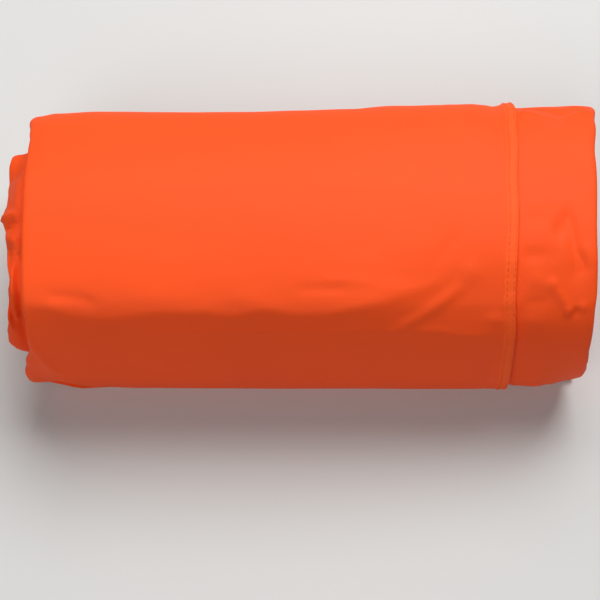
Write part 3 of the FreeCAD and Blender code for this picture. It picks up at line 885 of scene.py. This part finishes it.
def grow(piece, tree, **values):
    """Runs a tree on a piece and keeps the result as plain mesh."""
    modifier = piece.modifiers.new(tree.name, "NODES")
    modifier.node_group = tree
    for socket in tree.interface.items_tree:
        if socket.in_out == "INPUT" and socket.name in values:
            modifier[socket.identifier] = values[socket.name]
    freeze(piece)
    print(f"{piece.name}: {len(piece.data.polygons)} faces")
    return piece


def path_object(name, *paths):
    """Rows of points as edges. Each row is (points, the directions out of the cloth)."""
    verts, edges, out = [], [], []
    for points, normals in paths:
        start = len(verts)
        verts += (points * MM).tolist()
        out.append(np.broadcast_to(np.asarray(normals, float), points.shape))
        edges += [(i, i + 1) for i in range(start, len(verts) - 1)]
    mesh = bpy.data.meshes.new(name)
    mesh.from_pydata(verts, edges, [])
    mesh.attributes.new("outward", "FLOAT_VECTOR", "POINT").data.foreach_set("vector", np.vstack(out).ravel())
    return new_object(name, mesh)


# %% The tree for hems
ROUNDED = 0.48  # radius of the bar's corners, as a share of its thickness
hem_tree, given, path = new_tree("rolled hem", "Width", "Thickness")
path = add(hem_tree, "SetCurveNormal", {"Curve": path, "Normal": stored_outward(hem_tree)}, mode="FREE")
box = add(hem_tree, "CurvePrimitiveQuadrilateral", {"Width": given["Thickness"], "Height": given["Width"]})
radius = calculate("MULTIPLY", given["Thickness"], ROUNDED)
bar = add(hem_tree, "FilletCurve", {"Curve": box, "Radius": radius, "Count": 3}, mode="POLY")
bar = add(hem_tree, "CurveToMesh", {"Curve": path, "Profile Curve": bar, "Fill Caps": True})
finish_tree(bar, given["Material"])
print("hem tree:", len(hem_tree.nodes), "nodes")


# %% Hems and the seam across, along the sheets' rows
def row_path(kind, way):
    """The way across the folded sheet at one place of the spiral, and the directions out of the cloth."""
    points = roll_up(way, *columns(kind, np.array([way])))[0]
    normals = np.cross(np.gradient(points, axis=0), (0.0, 1.0, 0.0))
    return points, normals / np.linalg.norm(normals, axis=1)[:, None]


def sweep(name, width, thickness, *paths):
    """A flat, rounded bar along the paths, with its sizes in millimetres."""
    sizes = {"Width": width * MM, "Thickness": thickness * MM}
    return grow(path_object(name, *paths), hem_tree, Material=trim_nylon, **sizes)


HEM_WAY = way_on_base(-MOUTH_REACH - HEM_WIDTH / 2)
CROSS_WAY = SEAM_WAY + 0.01
HEM, CROSS, EDGE = (HEM_WIDTH + 1, 0.55), (8, 0.5), (2.6, 0.7)  # widths and thicknesses
for kind in ("top", "floor"):
    pieces[f"mouth_hem_{kind}"] = sweep(f"mouth_hem_{kind}_cloth", *HEM, row_path(kind, HEM_WAY))
pieces["hood_cross_seam"] = sweep("cross_seam", *CROSS, row_path("top", CROSS_WAY), row_path("floor", CROSS_WAY))

# %% [markdown]
# ## The zip's opening
# The skin's edges at the zip are turned under and sewn to the tapes, and the same hem tree makes them. The opening
# is a long slot with rounded ends, which meet the skin again beyond the zip's stops.

# %% Turned edges beside the zip
slot_x = np.concatenate([np.linspace(zip_left - 1.5, zip_left + 3, 16), np.linspace(zip_left + 5, zip_right - 5, 100),
                         np.linspace(zip_right - 3, zip_right + 1.5, 16)])


def along_slot(side, away, lift):
    """Points beside the zip's opening, away from its edge, and their direction out of the cloth."""
    way = ZIP_WAY + side * (opening(slot_x) + away) * WAY_PER_MM
    return roll_up(way, slot_x, TOP_LANES[0], lift), (0.0, 1.0, 0.0)


turned_edges = [sweep(f"zip_edge_{name}", *EDGE, along_slot(side, 1.0, 0.06))
                for side, name in ((-1, "top"), (1, "mouth"))]

# %% [markdown]
# ## Stitches
# Each stitch is a short piece of thread that dips into the cloth at both ends. A tree sets them at even distances
# along a path and turns them along it. A fixed seed makes their lengths vary a little.

# %% The tree for stitches
STITCH_SEED = 4
stitch_tree, given, path = new_tree("stitches", "Pitch", "Length", "Thread")
bead = add(stitch_tree, "MeshUVSphere", {"Segments": 6, "Rings": 6, "Radius": 0.5})
vary = add(stitch_tree, "FunctionNodeRandomValue", {2: 0.92, 3: 1.08, "Seed": STITCH_SEED}).node.outputs[1]
long = calculate("MULTIPLY", given["Length"], vary)
size = add(stitch_tree, "ShaderNodeCombineXYZ", {"X": long, "Y": given["Thread"], "Z": given["Thread"]})
tangent = add(stitch_tree, "InputTangent")
finish_tree(row_of(path, given["Pitch"], bead, tangent, "X", Scale=size), given["Material"])

# %% Rows of stitches
ON_BAND = 0.62  # height of the stitches above the skin, on top of the band


def band_row(across):
    return band_at(ways(OUTER + 0.01, (MOUTH_WAY, 1.0)), across, ON_BAND), (0.0, 0.0, 0.0)


rows = {
    "stitches_side_seam": [band_row(-1.5), band_row(1.6)],
    "stitches_zip": [along_slot(-1, 1.5, 0.42), along_slot(1, 1.5, 0.42)],
    "stitches_zip_second": [along_slot(-1, 4.6, 0.2), along_slot(1, 4.6, 0.2)],
}
for name, paths in rows.items():
    pieces[name] = grow(path_object(name, *paths), stitch_tree, Pitch=3 * MM, Length=2.4 * MM, Thread=0.42 * MM,
                        Material=thread)

# %% [markdown]
# ## The zip's coil
# The teeth of a coil zip are the loops of one nylon wire, sewn to the tape's edge. A row of the same small loop is
# set along each tape, and the second row is shifted by half a pitch, so that the heads reach between each other.

# %% The tree for the coil
PITCH = 1.5  # from one loop to the next, in millimetres
coil_tree, given, path = new_tree("coil", "Pitch", "Wire")
loop = add(coil_tree, "CurvePrimitiveBezierSegment",
           {"Resolution": 8, "Start": (0.0, -0.0007, -0.0009), "Start Handle": (0.0001, 0.0013, -0.0016),
            "End Handle": (0.0003, 0.0009, 0.0026), "End": (0.00035, -0.00055, 0.0010)})
wire = add(coil_tree, "CurvePrimitiveCircle", {"Resolution": 6, "Radius": given["Wire"]})
loop = add(coil_tree, "CurveToMesh", {"Curve": loop, "Profile Curve": wire, "Fill Caps": True})
finish_tree(row_of(path, given["Pitch"], loop, stored_outward(coil_tree), "Z"), given["Material"])

# %% Two rows of loops
ROW_APART = 1.5  # from the middle of the zip to each row
row_depth = (row_low[1] + row_high[1]) / 2
for name, side, shift in (("zip_coil_lower", 1, 0), ("zip_coil_upper", -1, PITCH / 2)):
    x = np.linspace(row_low[0] + 1.0 + shift, row_high[0] - 0.8, 120)
    height = zip_height - side * ROW_APART
    points = np.stack(np.broadcast_arrays(x, row_depth, height), axis=-1)
    path = path_object(f"{name}_loops", (points, (0.0, 0.0, side)))
    pieces[name] = grow(path, coil_tree, Pitch=PITCH * MM, Wire=0.42 * MM, Material=zip_coil)

# %% [markdown]
# ## Riding, slots and cloth sizes
# Every piece of the roll rides on the rolled bag's body and, unless it has a finish, takes its slot's finish. Apart
# from the stitches, it hides the piece of the frame that it stands for. Each sheet says the size that it was cut to.

# %% Dress and place every piece
def dress(piece, material):
    """Gives a piece its finish, unless it has one."""
    if not piece.data.materials:
        piece.data.materials.append(material)


def join(first, second, material):
    """Adds the second piece to the first one."""
    dress(first, material)
    dress(second, material)
    with bpy.context.temp_override(active_object=first, selected_editable_objects=[first, second]):
        bpy.ops.object.join()


FINISH = {  # for each slot the finish of pieces that have none yet, and the pieces
    "top_fabric": (top_nylon, ["body_top_panel", "hood_top_panel", "hood_mouth_panel"]),
    "floor_fabric": (floor_nylon, ["body_floor_panel", "foot_end_panel", "hood_floor_panel"]),
    "seam_fabric": (trim_nylon, ["side_seams_hood", "mouth_hem_top", "mouth_hem_floor", "hood_cross_seam", *rows]),
    "zip_coil": (zip_coil, ["zip_coil_lower", "zip_coil_upper"]),
}
# The side seams take the nylon with the painted highlight.
join(pieces["side_seams_hood"], inner_seam, seam_nylon)
join(pieces["hood_top_panel"], turned_edges[0], top_nylon)
join(pieces["hood_mouth_panel"], turned_edges[1], top_nylon)
for slot, (material, names) in FINISH.items():
    for name in names:
        piece = pieces[name]
        dress(piece, material)
        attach(piece, "rolled_bag")
        if name not in rows:
            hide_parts(name)

for node, material in (("zip_tape_upper", zip_tape), ("zip_tape_lower", zip_tape), ("zip_top_stop", zip_stop),
                       ("zip_bottom_stop", zip_stop), ("zip_slider", enamel), ("zip_pull_tab", enamel)):
    bpy.data.objects[node].data.materials.clear()
    dress(bpy.data.objects[node], material)
print(len(pieces), "pieces ride on the rolled bag")

# %% [markdown]
# ## Floor, camera and light
# The roll lies on a plain pale floor under two soft lamps. The large one hangs behind it and to the right, and a
# weaker one stands in front at the left. So the top is evenly bright, the front falls off over the ridge, and the
# pale floor gives some light back. Far away the floor fades into a backdrop, which only the camera sees.

# %% The studio
BACKDROP = (0.8, 0.805, 0.79, 1)
FLOOR_COLOR = (0.66, 0.665, 0.65)
FADE = (0.7, 2.5)  # the floor fades between these distances, in metres
SKY = 0.04


def show_backdrop(output, plain, kind, share=1.0):
    """Lets the camera see the backdrop's colour instead of the plain surface, for a share of it."""
    seen = add(output, "LightPath").node.outputs["Is Camera Ray"]
    glow = add(output, kind, {"Color": BACKDROP, "Strength": 1.0})
    mixed = add(output, "MixShader", {0: calculate("MULTIPLY", seen, share), 1: plain, 2: glow})
    feed(output, "Surface", mixed)


paint, ground = shader("floor_paint", FLOOR_COLOR, 0.7, 0.2)
where = object_place(ground)
mottled(ground, FLOOR_COLOR, where, 3.0, 0.012)
distance = add(ground, "VectorMath", {0: where}, operation="LENGTH").node.outputs["Value"]
ends = {"From Min": FADE[0], "From Max": FADE[1]}
far = add(ground, "MapRange", {"Value": distance, **ends}, interpolation_type="SMOOTHSTEP")
show_backdrop(paint.node_tree.nodes["Material Output"], ground.outputs[0], "Emission", far)
floor = bpy.data.meshes.new("floor")
floor.from_pydata([(-4, -4, 0), (4, -4, 0), (4, 4, 0), (-4, 4, 0)], [], [(0, 1, 2, 3)])
floor.materials.append(paint)
floor = new_object("floor", floor)


def aim(holder, place, target):
    """Puts a camera or a lamp at a place, and turns it to look at a target."""
    holder.location = place
    holder.rotation_euler = (Vector(target) - Vector(place)).to_track_quat("-Z", "Y").to_euler()


def soft_lamp(name, place, size, power):
    lamp = bpy.data.lights.new(name, "AREA")
    lamp.shape, lamp.energy = "RECTANGLE", power
    lamp.size, lamp.size_y = size
    aim(new_object(name, lamp), place, (-0.1, 0, 0.05))


camera = new_object("camera", bpy.data.cameras.new("camera"))
aim(camera, (0, -0.309, 0.646), (0, -0.0085, 0))
camera.data.lens, camera.data.sensor_width = 80.9, 36
soft_lamp("key", (0.2, 0.72, 1.3), (1.2, 0.9), 25.3)
soft_lamp("front", (-0.4, -0.96, 1.15), (1.0, 0.7), 7.8)
world = bpy.data.worlds.new("studio")
world.use_nodes = True
sky = world.node_tree.nodes["Background"]
feed(sky, "Color", (1, 1, 1, 1))
feed(sky, "Strength", SKY)
show_backdrop(world.node_tree.nodes["World Output"], sky.outputs[0], "Background")
scene = bpy.context.scene
scene.camera, scene.world, scene.view_settings.view_transform = camera, world, "Standard"
